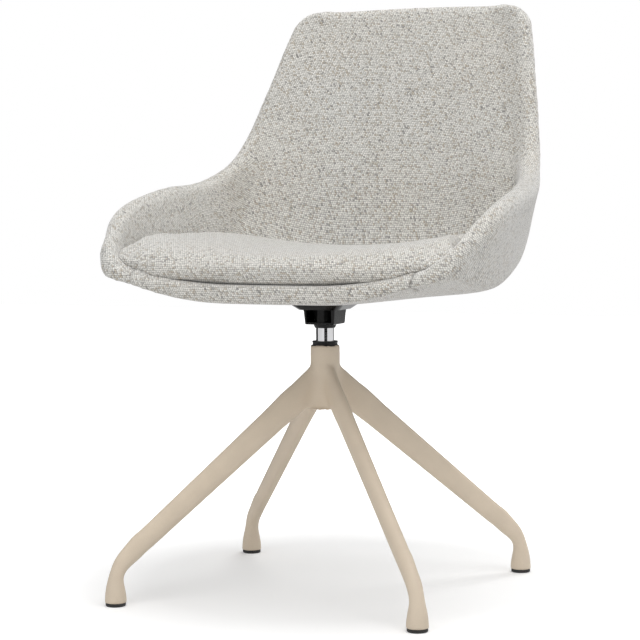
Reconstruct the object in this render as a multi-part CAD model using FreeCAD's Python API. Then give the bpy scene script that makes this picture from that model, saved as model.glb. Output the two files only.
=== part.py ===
import FreeCAD, Part
import math
import os
from collections import namedtuple

Vector = FreeCAD.Vector
UP = Vector(0, 0, 1)

# A swivel dining chair: four tapered legs on a hub, a thrust ball bearing and a chrome column, and an upholstered
# bucket seat. Millimetres, +Z up, the sitter faces -Y. Everything is drawn about the column axis, and moved by
# column_y at the end, so that the origin is the middle of the chair's footprint on the floor.
column_y = -79.6

# Clearances
running_gap = 0.08
slip_gap = 0.05
weld_gap = 0.1
soft_gap = 0.3
ball_gap = 0.03

# Hub and legs
hub_diameter = 42.4
hub_wall = 2.6
hub_bottom = 262.7
hub_top = 355.7
hub_edge_radius = 1.2
hub_floor_inset = 9.3
hub_floor_thickness = 4.0
hub_floor_bore = 11.0
foot_square = 450.0
leg_slope = 39.6
leg_depth_at_hub = 41.5
leg_depth_at_bend = 28.5
leg_width = 20.0
bend_height = 68.0
bend_setback = 17.0
neck_diameter = 21.0
neck_height = 42.0
foot_diameter = 31.0
glide_diameter = 28.4
glide_height = 4.5
glide_chamfer = 1.2
glide_stem_diameter = 12.0
glide_stem_length = 16.0

# Column, bushes and thrust bearing
column_diameter = 26.0
column_inset = 3.5
column_reveal = 19.2
stud_diameter = 10.0
stud_tip = 2.7
groove_depth = 0.9
bush_flange_diameter = 36.0
bush_flange_lip = 0.6
bush_flange_height = 5.8
upper_bush_length = 26.0
lower_bush_skirt = 1.8
lower_bush_length = 27.0
lower_bush_lift = 1.0
ball_diameter = 5.5
ball_count = 10
ball_circle_diameter = 22.0
race_thickness = 2.5
raceway_depth = 0.8
race_diameter = 31.0
cage_thickness = 2.4
cage_width = 6.8
washer_diameter = 24.0
washer_thickness = 2.0
clip_diameter = 16.0
clip_thickness = 1.2
collar_diameter = 32.5
collar_toe_diameter = 29.6
collar_height = 5.3
collar_cone_height = 3.8

# Swivel bracket and mounting plate
bracket_height = 21.5
bracket_width_bottom = 45.0
bracket_width_top = 48.5
bracket_wall = 3.0
bracket_corner = 3.0
bracket_edge_radius = 1.6
socket_diameter = 33.0
dish_width_bottom = 63.0
dish_width_top = 99.0
dish_corner = 12.0
plate_depth = 17.5
plate_thickness = 2.5
plate_width = 150.0
plate_corner = 18.0
bolt_spacing = 122.0
bolt_diameter = 6.0
bolt_head_diameter = 11.0
bolt_head_height = 3.2
bolt_socket_width = 4.0
bolt_socket_depth = 2.0
bolt_washer_diameter = 12.0
bolt_washer_thickness = 1.0
tee_flange_diameter = 18.0
tee_flange_thickness = 1.2
tee_recess = 0.6
tee_barrel_diameter = 8.0
tee_barrel_length = 5.0

# Upholstered shell
back_lean = 23.0
bend_radius = 130.0
back_foot = 220.7
fan_y = 40.0
fan_rise = 301.0
chine_radius = 28.0
inner_chine_radius = 22.0
cover_thickness = 5.0
core_thickness = 6.0
cutter_margin = 6.0
band_half_width = 208.0
band_depth_line = -178.0
band_height = 45.0

# Seat cushion
board_thickness = 6.0
board_width = 190.0
board_front = -50.0
board_rear = 60.0
board_corner = 30.0
cushion_side_bulge = 4.0
cushion_tuck = 3.0
cushion_shoulder = 10.0

# Heights of the stack from the hub's floor up to the seat
hub_floor_bottom = hub_bottom + hub_floor_inset
race_bottom = hub_floor_bottom + hub_floor_thickness
lower_race_top = race_bottom + race_thickness
ball_height = lower_race_top - raceway_depth + ball_diameter / 2 + ball_gap
upper_race_bottom = ball_height + ball_diameter / 2 + ball_gap - raceway_depth
column_bottom = upper_race_bottom + race_thickness
collar_bottom = hub_top + bush_flange_height + column_reveal
bracket_bottom = collar_bottom + collar_height
dish_bottom = bracket_bottom + bracket_height
underside = dish_bottom + plate_depth
core_bottom = underside + cover_thickness + soft_gap
core_top = core_bottom + core_thickness
fan_z = underside + fan_rise
hub_bore = hub_diameter - 2 * hub_wall

# One section of the shell, in its own plane: spine is where the plane meets the outer centre line, tilt turns the
# plane about X, (flat, rise) and (chine_x, chine_h) are corners of the outer outline, (roll_x, roll_h) is the centre
# of the rolled rim, roll its radius, and floor the thickness at the centre line.
Section = namedtuple("Section", "y z tilt flat rise chine_x chine_h roll_x roll_h roll floor")


def back_line(z):
    """Y of the outer centre line of the leaning back at height z."""
    return back_foot + (z - underside) * math.tan(math.radians(back_lean))


def bend_start():
    """Y where the level underside starts to bend up into the back."""
    return back_foot - bend_radius * math.tan(math.radians((90 - back_lean) / 2))


def fan_spine(tilt):
    """Where the plane through the fan's axis, turned by tilt, meets the outer centre line."""
    angle = math.radians(tilt)
    toward = (math.sin(angle), -math.cos(angle))
    centre = (bend_start(), underside + bend_radius)
    reach = (fan_z - underside) / math.cos(angle)
    y = fan_y + toward[0] * reach
    if y <= bend_start():
        return y, underside
    dy, dz = fan_y - centre[0], fan_z - centre[1]
    along = dy * toward[0] + dz * toward[1]
    reach = -along + math.sqrt(along * along - dy * dy - dz * dz + bend_radius * bend_radius)
    y, z = fan_y + toward[0] * reach, fan_z + toward[1] * reach
    if math.degrees(math.atan2(y - centre[0], centre[1] - z)) <= 90 - back_lean:
        return y, z
    lean = math.tan(math.radians(back_lean))
    reach = (back_line(fan_z) - fan_y) / (toward[0] - lean * toward[1])
    return fan_y + toward[0] * reach, fan_z + toward[1] * reach


def level(y, z, *sizes):
    return Section(y, z, 0.0, *sizes)


def fanned(tilt, *sizes):
    return Section(*fan_spine(tilt), tilt, *sizes)


def leaning(rise, *sizes):
    z = underside + rise
    return Section(back_line(z), z, 90 - back_lean, *sizes)


def capping(rise, inset, *sizes):
    """A section near the top edge, drawn in from the outer face by inset."""
    z = underside + rise
    angle = math.radians(90 - back_lean)
    y = back_line(z) - inset * math.sin(angle)
    return Section(y, z + inset * math.cos(angle), 90 - back_lean, *sizes)


SECTIONS = [
    level(-207, underside + 7, 130, 2, 214, 19, 227, 28, 9.5, 19),
    level(-200, underside + 2, 130, 2, 236, 31, 240, 41, 12.5, 24),
    level(-190, underside + 1, 130, 2, 249, 36, 247, 50, 14.5, 26),
    level(-175, underside, 135, 1, 261, 36, 255, 61, 16, 27),
    level(-150, underside, 142, 0, 266, 34, 265, 77, 16, 24),
    level(-115, underside, 150, 0, 269, 30, 277.5, 99, 16, 20),
    level(-65, underside, 152, 0, 270, 27, 284, 120, 16, 16),
    level(0, underside, 150, 0, 268, 25, 281, 135, 16, 16),
    level(40, underside, 143, 0, 264, 26, 276, 142, 16, 16),
    fanned(15, 133, 0, 253, 35, 268, 152, 16, 18),
    fanned(30, 118, 0, 245, 46, 261, 153.5, 16, 22),
    fanned(45, 108, 2, 241.5, 47, 253.5, 116, 16, 26),
    fanned(57, 102, 3, 231.5, 42, 242.5, 80, 15.5, 28),
    fanned(67, 98, 4, 221, 37, 235, 62, 14.5, 28),
    leaning(221, 95, 4, 210, 32, 227.5, 54.5, 14, 28),
    leaning(265, 91, 4, 198.5, 28, 218, 49, 14, 28),
    leaning(313, 88, 4, 186, 25, 207, 45, 14, 28),
    leaning(360, 85, 4, 174.5, 22, 197, 42, 14, 28),
    leaning(388, 82, 4, 167, 20.5, 190, 40, 14, 28),
    leaning(404, 80, 4, 161, 20, 184, 39, 14, 28),
    leaning(416.5, 78, 4, 150, 19, 171.5, 38, 14, 28),
    capping(423.5, 0.5, 76, 4, 140, 18, 163, 34, 13, 26),
    capping(429, 3, 74, 4, 133, 15, 155, 27, 10.5, 21),
    capping(432.5, 7, 70, 3, 126, 10, 146, 18, 7, 13),
]
SHELL_DEGREE = 4
LEG_DEGREE = 3
CORE_FIRST = 3
CORE_LAST = 20

# The seat cushion by its sections across the seat: y, half width, and heights over the board's top face of the
# underside at the middle and at the edge, and of the top at the side shoulders and at the middle.
Slice = namedtuple("Slice", "y half_width under_mid under_edge shoulder middle")
CUSHION = [
    Slice(-203, 165, 6, 11, 22, 26),
    Slice(-193, 190, 6.5, 22, 35, 34),
    Slice(-179, 208, 6.5, 29, 46, 39),
    Slice(-160, 226, 6, 26, 57, 42),
    Slice(-130, 237, 3.5, 24, 66, 45),
    Slice(-80, 242, 1, 18, 71, 48),
    Slice(0, 243, 0.5, 16, 72, 49),
    Slice(75, 238, 1, 22, 71, 49),
    Slice(125, 226, 3, 33, 68, 47),
    Slice(160, 210, 9.5, 39, 63, 44),
    Slice(180, 190, 17, 43, 56, 41),
    Slice(196, 130, 27, 35, 47, 39),
]


def turned(profile):
    """A solid of revolution about the column axis from a closed outline of (radius, height) corners."""
    corners = [Vector(radius, 0, height) for radius, height in profile]
    outline = Part.makePolygon(corners + [corners[0]])
    return Part.Face(outline).revolve(Vector(0, 0, 0), UP, 360)


def ring(outer_diameter, inner_diameter, bottom, height):
    outer, inner = outer_diameter / 2, inner_diameter / 2
    return turned([(inner, bottom), (outer, bottom), (outer, bottom + height), (inner, bottom + height)])


def rod(diameter, bottom, height, x=0.0, y=0.0):
    return Part.makeCylinder(diameter / 2, height, Vector(x, y, bottom), UP)


def rounded_rectangle(x_low, x_high, y_low, y_high, corner, z):
    """A closed wire of four lines and four quarter arcs."""
    slant = corner * (1 - math.sqrt(0.5))
    points = []
    for x, y, dx, dy in ((x_high, y_low, -1, 1), (x_high, y_high, -1, -1), (x_low, y_high, 1, -1), (x_low, y_low, 1, 1)):
        ends = [Vector(x + dx * corner, y, z), Vector(x, y + dy * corner, z)]
        if dx * dy > 0:
            ends.reverse()
        points.append((ends[0], Vector(x + dx * slant, y + dy * slant, z), ends[1]))
    edges = []
    for index, (first, middle, last) in enumerate(points):
        edges.append(Part.Arc(first, middle, last).toShape())
        edges.append(Part.LineSegment(last, points[(index + 1) % 4][0]).toShape())
    return Part.Wire(edges)


def rounded_square(width, corner, z):
    half = width / 2
    return rounded_rectangle(-half, half, -half, half, corner, z)


def loft(wires, degree=SHELL_DEGREE):
    """A solid through the wires in order. The degree keeps it from swinging out between uneven steps."""
    return Part.makeLoft(wires, True, False, False, degree)


def drafted(wires):
    """A solid with flat sides through the wires in order."""
    return Part.makeLoft(wires, True, True)


def around_column(spacing):
    """The four corners of a square about the column."""
    half = spacing / 2
    return [(x, y) for x in (-half, half) for y in (-half, half)]


# Base

def base_hub():
    outer = hub_diameter / 2
    inner = outer - hub_wall
    bore = hub_floor_bore / 2
    floor_top = hub_floor_bottom + hub_floor_thickness
    hub = turned([
        (outer, hub_bottom), (outer, hub_top), (inner, hub_top), (inner, floor_top), (bore, floor_top),
        (bore, hub_floor_bottom), (inner, hub_floor_bottom), (inner, hub_bottom),
    ])
    rim = [edge for edge in hub.Edges
           if abs(edge.BoundBox.ZMin - hub_top) < 1e-6 and abs(edge.BoundBox.ZMax - hub_top) < 1e-6
           and edge.BoundBox.XMax > outer - 1e-3]
    return hub.makeFillet(hub_edge_radius, rim)


def leg_sections():
    """Oval sections of one leg along +X: distance out, height, slope down, depth and width."""
    foot_reach = foot_square / math.sqrt(2)
    fall = math.tan(math.radians(leg_slope))
    bend_reach = foot_reach - bend_setback
    inner_reach = hub_diameter / 4
    straight = []
    for share in (0.0, 0.9, 0.96):
        reach = inner_reach + (bend_reach - inner_reach) * share
        depth = leg_depth_at_hub + (leg_depth_at_bend - leg_depth_at_hub) * share
        straight.append((reach, bend_height + (bend_reach - reach) * fall, leg_slope, depth, leg_width))
    neck_drop = bend_height - neck_height
    flare = foot_diameter - neck_diameter
    ankle_width = (leg_width + neck_diameter) / 2
    bend = [
        (foot_reach - 0.9 * bend_setback, bend_height - 0.12 * neck_drop, 44, 0.9 * leg_depth_at_bend, ankle_width),
        (foot_reach - 0.37 * bend_setback, bend_height - 0.55 * neck_drop, 54, neck_diameter + 1, neck_diameter),
        (foot_reach - 0.1 * bend_setback, neck_height, 72, neck_diameter, neck_diameter),
        (foot_reach, 0.7 * neck_height, 86, neck_diameter + 0.4 * flare, neck_diameter + 0.4 * flare),
        (foot_reach, 0.42 * neck_height, 90, neck_diameter + 0.8 * flare, neck_diameter + 0.8 * flare),
        (foot_reach, glide_height, 90, foot_diameter, foot_diameter),
    ]
    return straight[:2], straight[1:] + bend


def oval(reach, height, slope, depth, width):
    """A closed oval whose long axis lies in the leg's own plane."""
    angle = math.radians(slope)
    centre = Vector(reach, 0, height)
    ridge = Vector(math.sin(angle), 0, math.cos(angle)) * (depth / 2 + 0.001)
    curve = Part.Ellipse(centre + ridge, centre + Vector(0, width / 2, 0), centre)
    halves = [Part.ArcOfEllipse(curve, start, start + math.pi).toShape() for start in (0, math.pi)]
    return Part.Wire(halves)


def leg(azimuth):
    foot_reach = foot_square / math.sqrt(2)
    straight, bend = [loft([oval(*section) for section in run], LEG_DEGREE) for run in leg_sections()]
    body = straight.fuse(bend).removeSplitter()
    body = body.cut(rod(hub_diameter + 2 * weld_gap, hub_bottom - hub_diameter, hub_top))
    bore = rod(glide_stem_diameter + 2 * slip_gap, glide_height, glide_stem_length + soft_gap, foot_reach)
    body = body.cut(bore)
    body.rotate(Vector(0, 0, 0), UP, azimuth)
    return body


def glide(azimuth):
    foot_reach = foot_square / math.sqrt(2)
    pad, stem = glide_diameter / 2, glide_stem_diameter / 2
    tip = glide_height + glide_stem_length
    body = turned([
        (0, 0), (pad - glide_chamfer, 0), (pad, glide_chamfer), (pad, glide_height), (stem, glide_height),
        (stem, tip - glide_chamfer), (stem - glide_chamfer, tip), (0, tip),
    ])
    body.translate(Vector(foot_reach, 0, 0))
    body.rotate(Vector(0, 0, 0), UP, azimuth)
    return body


# Swivel: everything stacks up from the hub's welded floor

def race(bottom, bore, groove_side):
    """A flat race with a round groove that the balls run in, on its upper or lower face."""
    disc = ring(race_diameter, bore, bottom, race_thickness)
    face = bottom + race_thickness if groove_side > 0 else bottom
    radius = ball_diameter / 2 + ball_gap
    centre = Vector(ball_circle_diameter / 2, 0, face + groove_side * (radius - raceway_depth))
    groove = Part.makeTorus(ball_circle_diameter / 2, radius, Vector(0, 0, centre.z), UP)
    return disc.cut(groove)


def lower_race():
    return race(race_bottom, hub_floor_bore, 1)


def upper_race():
    return race(upper_race_bottom, stud_diameter + 2 * slip_gap, -1)


def ball_places():
    for index in range(ball_count):
        angle = 2 * math.pi * index / ball_count
        yield ball_circle_diameter / 2 * math.cos(angle), ball_circle_diameter / 2 * math.sin(angle)


def bearing_balls():
    return Part.makeCompound([Part.makeSphere(ball_diameter / 2, Vector(x, y, ball_height)) for x, y in ball_places()])


def bearing_cage():
    bottom = ball_height - cage_thickness / 2
    cage = ring(ball_circle_diameter + cage_width, ball_circle_diameter - cage_width, bottom, cage_thickness)
    pocket = ball_diameter + 2 * running_gap
    for x, y in ball_places():
        cage = cage.cut(rod(pocket, bottom - 1, cage_thickness + 2, x, y))
    return cage


def lower_bush():
    """A bush whose skirt stands on the lower race, round the bearing."""
    outer = hub_bore / 2 - slip_gap
    skirt = outer - lower_bush_skirt
    inner = column_diameter / 2 + running_gap
    ledge = column_bottom + lower_bush_lift
    top = ledge + lower_bush_length
    return turned([
        (skirt, race_bottom), (outer, race_bottom), (outer, top), (inner, top),
        (inner, ledge), (skirt, ledge),
    ])


def upper_bush():
    outer = hub_bore / 2 - slip_gap
    inner = column_diameter / 2 + running_gap
    flange = bush_flange_diameter / 2
    top = hub_top + bush_flange_height
    return turned([
        (inner, hub_top - upper_bush_length), (outer, hub_top - upper_bush_length), (outer, hub_top),
        (hub_bore / 2 + 0.2, hub_top), (flange, hub_top), (flange, top - 2.5), (flange + bush_flange_lip, top - 1.2),
        (flange + bush_flange_lip, top), (inner, top),
    ])


def column():
    outer, stud = column_diameter / 2, stud_diameter / 2
    washer_top = hub_floor_bottom - running_gap
    clip_top = washer_top - washer_thickness
    clip_bottom = clip_top - clip_thickness
    stud_bottom = clip_bottom - stud_tip
    column_top = dish_bottom - column_inset
    groove = stud - groove_depth
    return turned([
        (0, stud_bottom), (stud - 0.8, stud_bottom), (stud, stud_bottom + 0.8), (stud, clip_bottom),
        (groove, clip_bottom), (groove, clip_top), (stud, clip_top), (stud, column_bottom), (outer, column_bottom),
        (outer, column_top - 1), (outer - 1, column_top), (0, column_top),
    ])


def retaining_washer():
    bottom = hub_floor_bottom - running_gap - washer_thickness
    return ring(washer_diameter, stud_diameter + 2 * slip_gap, bottom, washer_thickness)


def retaining_clip():
    """An open clip that snaps into the stud's groove."""
    bottom = hub_floor_bottom - running_gap - washer_thickness - clip_thickness
    seat = stud_diameter - 2 * groove_depth + 2 * slip_gap
    clip = ring(clip_diameter, seat, bottom, clip_thickness)
    mouth = 0.8 * seat
    slot = Part.makeBox(mouth, clip_diameter, clip_thickness + 2, Vector(-mouth / 2, 0, bottom - 1))
    return clip.cut(slot)


def column_collar():
    inner = column_diameter / 2 + slip_gap
    shoulder = collar_bottom + collar_cone_height
    return turned([
        (inner, collar_bottom), (collar_toe_diameter / 2, collar_bottom), (collar_diameter / 2, shoulder),
        (collar_diameter / 2, bracket_bottom), (inner, bracket_bottom),
    ])


# Bracket and plate

def swivel_bracket():
    """A drafted box, open at the front, with a socket for the column standing in it."""
    top = dish_bottom
    outer = drafted([rounded_square(bracket_width_bottom, bracket_corner, bracket_bottom),
                     rounded_square(bracket_width_top, bracket_corner, top)])
    lower_edges = [edge for edge in outer.Edges if edge.BoundBox.ZMax < bracket_bottom + 1e-3]
    outer = outer.makeFillet(bracket_edge_radius, lower_edges)
    floor = bracket_bottom + bracket_wall
    inside = 2 * bracket_wall
    pocket = drafted([rounded_square(bracket_width_bottom - inside, bracket_corner / 2, floor),
                      rounded_square(bracket_width_top - inside, bracket_corner / 2, top + 1)])
    mouth_width = bracket_width_bottom - inside
    mouth = Part.makeBox(mouth_width, bracket_width_top, bracket_height,
                         Vector(-mouth_width / 2, -bracket_width_top, floor))
    walls = outer.cut(pocket).cut(mouth)
    body = walls.fuse(rod(socket_diameter, bracket_bottom, bracket_height))
    return body.cut(rod(column_diameter + 2 * slip_gap, bracket_bottom - 1, bracket_height + 2)).removeSplitter()


def mounting_plate():
    """A pressed plate: a dish that flares up to a flat flange against the seat."""
    flange_bottom = underside - plate_thickness
    flange = Part.Face(rounded_square(plate_width, plate_corner, flange_bottom)).extrude(UP * plate_thickness)
    inside = 2 * plate_thickness
    dish = drafted([rounded_square(dish_width_bottom, dish_corner, dish_bottom),
                    rounded_square(dish_width_top, dish_corner, flange_bottom)])
    hollow = drafted([rounded_square(dish_width_bottom - inside, dish_corner, dish_bottom + plate_thickness),
                      rounded_square(dish_width_top - inside, dish_corner, flange_bottom),
                      rounded_square(dish_width_top - inside, dish_corner, underside + 1)])
    plate = flange.fuse(dish).cut(hollow)
    for x, y in around_column(bolt_spacing):
        plate = plate.cut(rod(bolt_diameter + 0.6, flange_bottom - 1, plate_thickness + 2, x, y))
    return plate.removeSplitter()


def plate_bolts():
    """Button-head bolts, up through the plate into the tee nuts."""
    head_top = underside - plate_thickness - bolt_washer_thickness
    head_bottom = head_top - bolt_head_height
    hexagon = [Vector(bolt_socket_width / math.sqrt(3) * math.cos(math.radians(60 * k)),
                      bolt_socket_width / math.sqrt(3) * math.sin(math.radians(60 * k)), head_bottom - 1)
               for k in range(7)]
    socket = Part.Face(Part.makePolygon(hexagon)).extrude(UP * (bolt_socket_depth + 1))
    radius = bolt_head_diameter / 2
    bolt = turned([
        (0, head_bottom), (0.55 * radius, head_bottom), (0.9 * radius, head_bottom + 0.4 * bolt_head_height),
        (radius, head_top), (bolt_diameter / 2, head_top), (bolt_diameter / 2, core_top - 1), (0, core_top - 1),
    ]).cut(socket)
    bolts = []
    for x, y in around_column(bolt_spacing):
        one = bolt.copy()
        one.translate(Vector(x, y, 0))
        bolts.append(one)
    return Part.makeCompound(bolts)


def plate_washers():
    bottom = underside - plate_thickness - bolt_washer_thickness
    washers = []
    for x, y in around_column(bolt_spacing):
        washer = ring(bolt_washer_diameter, bolt_diameter + 2 * slip_gap, bottom, bolt_washer_thickness)
        washer.translate(Vector(x, y, 0))
        washers.append(washer)
    return Part.makeCompound(washers)


def tee_nuts():
    nuts = []
    for x, y in around_column(bolt_spacing):
        flange_bottom = core_top - tee_recess - tee_flange_thickness
        nut = ring(tee_flange_diameter, bolt_diameter + 2 * slip_gap, flange_bottom, tee_flange_thickness)
        barrel = ring(tee_barrel_diameter, bolt_diameter + 2 * slip_gap, core_top - tee_recess - tee_barrel_length, tee_barrel_length)
        nut = nut.fuse(barrel).removeSplitter()
        nut.translate(Vector(x, y, 0))
        nuts.append(nut)
    return Part.makeCompound(nuts)


# Shell sections, drawn in the section's own plane as (x, h) points

def minus(a, b):
    return a[0] - b[0], a[1] - b[1]


def length(a):
    return math.hypot(a[0], a[1])


def unit(a):
    size = length(a)
    return a[0] / size, a[1] / size


def shifted(point, direction, distance):
    return point[0] + direction[0] * distance, point[1] + direction[1] * distance


def rounded(before, corner, after, radius):
    """Start, middle and end of the arc that rounds a corner, limited by the two sides."""
    u, w = unit(minus(before, corner)), unit(minus(after, corner))
    half = math.acos(max(-1.0, min(1.0, u[0] * w[0] + u[1] * w[1]))) / 2
    reach = min(radius / math.tan(half), 0.46 * length(minus(before, corner)), 0.46 * length(minus(after, corner)))
    radius = reach * math.tan(half)
    bisector = unit((u[0] + w[0], u[1] + w[1]))
    middle = shifted(corner, bisector, radius / math.sin(half) - radius)
    return shifted(corner, u, reach), middle, shifted(corner, w, reach)


def tangent_point(point, centre, radius, side):
    """Where a line from point touches the circle, on its outer (1) or inner (-1) side, as an angle."""
    away = minus(point, centre)
    return math.atan2(away[1], away[0]) + side * math.acos(min(1.0, radius / length(away)))


def on_circle(centre, radius, angle):
    return centre[0] + radius * math.cos(angle), centre[1] + radius * math.sin(angle)


def outer_corners(section):
    """Corners of the outer outline from the centre line to the rolled rim."""
    centre = (section.roll_x, section.roll_h)
    chine = (section.chine_x, section.chine_h)
    rim = on_circle(centre, section.roll, tangent_point(chine, centre, section.roll, 1))
    return [(0.0, 0.0), (section.flat, section.rise), chine, rim]


def inner_corners(section):
    """Corners of the inner outline from the rolled rim back to the centre line."""
    roll_x, roll_h, roll = section.roll_x, section.roll_h, section.roll
    chine_x = min(section.chine_x - 1.3 * roll, roll_x - roll - 8)
    chine_h = min(section.chine_h + 0.6 * section.floor, roll_h - 2)
    start = on_circle((roll_x, roll_h), roll, tangent_point((chine_x, chine_h), (roll_x, roll_h), roll, -1))
    flat = (section.flat - 10, section.floor + 0.6 * section.rise)
    return [start, (chine_x, chine_h), flat, (0.0, section.floor)]


def offset(corners, distance):
    """The outer corners moved inwards by distance; the first stays on the centre line."""
    result = []
    for index, corner in enumerate(corners):
        sides = []
        if index > 0:
            along = unit(minus(corner, corners[index - 1]))
            sides.append((-along[1], along[0]))
        if index < len(corners) - 1:
            along = unit(minus(corners[index + 1], corner))
            sides.append((-along[1], along[0]))
        if index == 0:
            result.append((0.0, corner[1] + distance))
        elif len(sides) == 1:
            result.append(shifted(corner, sides[0], distance))
        else:
            share = distance / (1 + sides[0][0] * sides[1][0] + sides[0][1] * sides[1][1])
            total = (sides[0][0] + sides[1][0], sides[0][1] + sides[1][1])
            result.append(shifted(corner, total, share))
    return result


def outward_run(corners, radius):
    """Line, arc, line, arc, line from the centre line out to the rim, as lists of 2 or 3 points."""
    centre, flat, chine, rim = corners
    first = rounded(centre, flat, chine, 1e6)
    second = rounded(flat, chine, rim, radius)
    return [[centre, first[0]], list(first), [first[2], second[0]], list(second), [second[2], rim]]


def backwards(run):
    return [list(reversed(piece)) for piece in reversed(run)]


def mirrored(run):
    return [[(-x, h) for x, h in piece] for piece in run]


def wire_of(section, half):
    """The closed wire of a section from the run of its right half, which starts and ends on the centre line."""
    left = mirrored(backwards(half))
    first = [left[-1][0]] + half[0][1:]
    last = [half[-1][0]] + left[0][1:]
    run = [first] + half[1:-1] + [last] + left[1:-1]
    angle = math.radians(section.tilt)

    def place(point):
        x, h = point
        return Vector(x, section.y - h * math.sin(angle), section.z + h * math.cos(angle))

    edges = []
    for piece in run:
        points = [place(point) for point in piece]
        edges.append((Part.Arc(*points) if len(points) == 3 else Part.LineSegment(*points)).toShape())
    return Part.Wire(edges)


def shell_wire(section):
    """The whole upholstered section: outer face, rolled rim and inner face."""
    outer = outward_run(outer_corners(section), chine_radius)
    inner = backwards(outward_run(list(reversed(inner_corners(section))), inner_chine_radius))
    centre, roll = (section.roll_x, section.roll_h), section.roll
    start = math.atan2(outer[-1][-1][1] - centre[1], outer[-1][-1][0] - centre[0])
    end = math.atan2(inner[0][0][1] - centre[1], inner[0][0][0] - centre[0]) % (2 * math.pi)
    crest = (start + end) / 2
    rim = [[on_circle(centre, roll, a), on_circle(centre, roll, (a + b) / 2), on_circle(centre, roll, b)]
           for a, b in ((start, crest), (crest, end))]
    return wire_of(section, outer + rim + inner)


def layer_wire(section, low, high, rim_gap):
    """A layer between two depths under the outer face, which ends at the rim."""
    corners = outer_corners(section)
    along = unit(minus(corners[3], corners[2]))
    near, far = offset(corners, low), offset(corners, high)
    near[3] = shifted(near[3], along, rim_gap)
    far[3] = shifted(far[3], along, rim_gap)
    outer = outward_run(near, chine_radius - low)
    inner = backwards(outward_run(far, chine_radius - high))
    return wire_of(section, outer + [[near[3], far[3]]] + inner)


def layer(low, high, rim_gap):
    return loft([layer_wire(section, low, high, rim_gap) for section in SECTIONS[CORE_FIRST:CORE_LAST + 1]])


def bolt_holes(shape, diameter, bottom, height):
    for x, y in around_column(bolt_spacing):
        shape = shape.cut(rod(diameter, bottom, height, x, y))
    return shape


def band_block(margin):
    """The space of the front band, cut out of the shell's front edge."""
    half = band_half_width + margin
    front = SECTIONS[0].y - 10
    below = 20.0
    return Part.makeBox(2 * half, band_depth_line + margin - front, below + band_height,
                        Vector(-half, front, underside - below))


def shell_core():
    core = layer(cover_thickness + soft_gap, cover_thickness + soft_gap + core_thickness, 0.0)
    core = bolt_holes(core, tee_barrel_diameter + 2 * slip_gap, underside, core_thickness + cover_thickness + 10)
    sink = tee_recess + tee_flange_thickness + slip_gap
    return bolt_holes(core, tee_flange_diameter + 2 * slip_gap, core_top - sink, sink + 5)


def outer_cover(whole):
    cover = whole.common(layer(-cutter_margin, cover_thickness, 0.0))
    under_plate = rounded_square(plate_width + 2 * soft_gap, plate_corner, underside - plate_depth)
    cover = cover.cut(Part.Face(under_plate).extrude(UP * plate_depth))
    return bolt_holes(cover, bolt_diameter + 1, underside - 5, cover_thickness + 10)


def inner_pad(whole):
    hidden = cover_thickness + core_thickness + 2 * soft_gap
    return whole.cut(layer(-cutter_margin, hidden, soft_gap)).cut(band_block(soft_gap))


def front_band(whole):
    return whole.common(band_block(0.0))


def board_bottom():
    """The board lies on the flattest part of the inner floor, over the column."""
    nearest = min(SECTIONS, key=lambda section: abs(section.y))
    return underside + nearest.floor + soft_gap


def cushion_base():
    half = board_width / 2
    bottom = board_bottom()
    outline = rounded_rectangle(-half, half, board_front, board_rear, board_corner, bottom)
    return Part.Face(outline).extrude(UP * board_thickness)


def cushion_wire(part):
    """Underside, bulging side, dished top and the other side, each one arc."""
    rest = board_bottom() + board_thickness
    low_x, high_x = part.half_width - cushion_tuck, part.half_width - cushion_shoulder
    edge_z, shoulder_z = rest + part.under_edge, rest + part.shoulder
    side_x = (high_x + part.half_width) / 2 + cushion_side_bulge
    side_z = (edge_z + shoulder_z) / 2

    def arc(*ends):
        return Part.Arc(*[Vector(x, part.y, z) for x, z in ends]).toShape()

    return Part.Wire([
        arc((-low_x, edge_z), (0, rest + part.under_mid), (low_x, edge_z)),
        arc((low_x, edge_z), (side_x, side_z), (high_x, shoulder_z)),
        arc((high_x, shoulder_z), (0, rest + part.middle), (-high_x, shoulder_z)),
        arc((-high_x, shoulder_z), (-side_x, side_z), (-low_x, edge_z)),
    ])


def seat_cushion():
    return loft([cushion_wire(part) for part in CUSHION])


def all_pieces():
    whole = loft([shell_wire(section) for section in SECTIONS])
    pieces = {
        "base_hub": base_hub(),
        "upper_bush": upper_bush(),
        "lower_bush": lower_bush(),
        "lower_race": lower_race(),
        "bearing_balls": bearing_balls(),
        "bearing_cage": bearing_cage(),
        "upper_race": upper_race(),
        "column": column(),
        "retaining_washer": retaining_washer(),
        "retaining_clip": retaining_clip(),
        "column_collar": column_collar(),
        "swivel_bracket": swivel_bracket(),
        "mounting_plate": mounting_plate(),
        "plate_bolts": plate_bolts(),
        "plate_washers": plate_washers(),
        "tee_nuts": tee_nuts(),
        "shell_core": shell_core(),
        "outer_cover": outer_cover(whole),
        "inner_pad": inner_pad(whole),
        "front_band": front_band(whole),
        "cushion_base": cushion_base(),
        "seat_cushion": seat_cushion(),
    }
    for place, azimuth in (("front_left", -45), ("front_right", -135), ("rear_left", 45), ("rear_right", 135)):
        pieces["leg_" + place] = leg(azimuth)
        pieces["glide_" + place] = glide(azimuth)
    return pieces


def main():
    os.makedirs("parts", exist_ok=True)
    for name, shape in all_pieces().items():
        shape.translate(Vector(0, column_y, 0))
        shape.exportStep(os.path.join("parts", name + ".step"))
        box = shape.BoundBox
        print(name, len(shape.Solids), shape.isValid(), round(shape.Volume),
              [round(value, 1) for value in (box.XMin, box.XMax, box.YMin, box.YMax, box.ZMin, box.ZMax)])


main()
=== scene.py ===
"""Swivel dining chair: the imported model, dressed in its upholstery, powder coat and chrome."""
import math

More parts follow.
